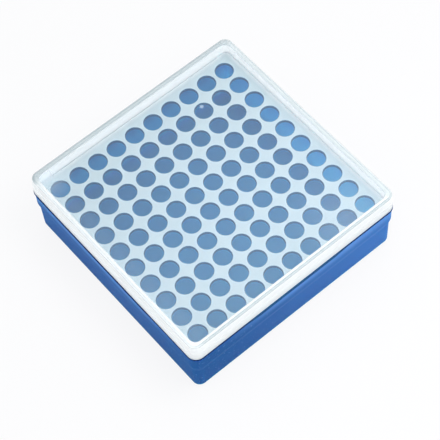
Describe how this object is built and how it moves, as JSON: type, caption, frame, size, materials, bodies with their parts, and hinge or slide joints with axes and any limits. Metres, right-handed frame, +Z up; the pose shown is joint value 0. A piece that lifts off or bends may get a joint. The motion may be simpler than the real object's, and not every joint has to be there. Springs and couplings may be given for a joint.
{
  "type": "microcentrifuge tube rack",
  "caption": "Square lidded box rack for microcentrifuge tubes: a tapered base, a plate perforated by a grid of round tube holes, and a lift-off lid with a raised stacking rim.",
  "frame": {"origin": "centre of the underside, on the surface the rack stands on", "axes": "+Z up; +X and +Y along the rows of tube holes. Hole A1 is at -X +Y: letters run towards -Y and numbers towards +X"},
  "size_m": [0.1504, 0.1504, 0.05],
  "materials": {
    "base": "moulded blue polypropylene with a satin surface",
    "plate": "moulded white polypropylene",
    "lid": "moulded natural polypropylene, translucent and frosted"
  },
  "bodies": {
    "root": {"base_box": "base", "tube_plate": "plate", "lid": "lid"}
  },
  "joints": []
}
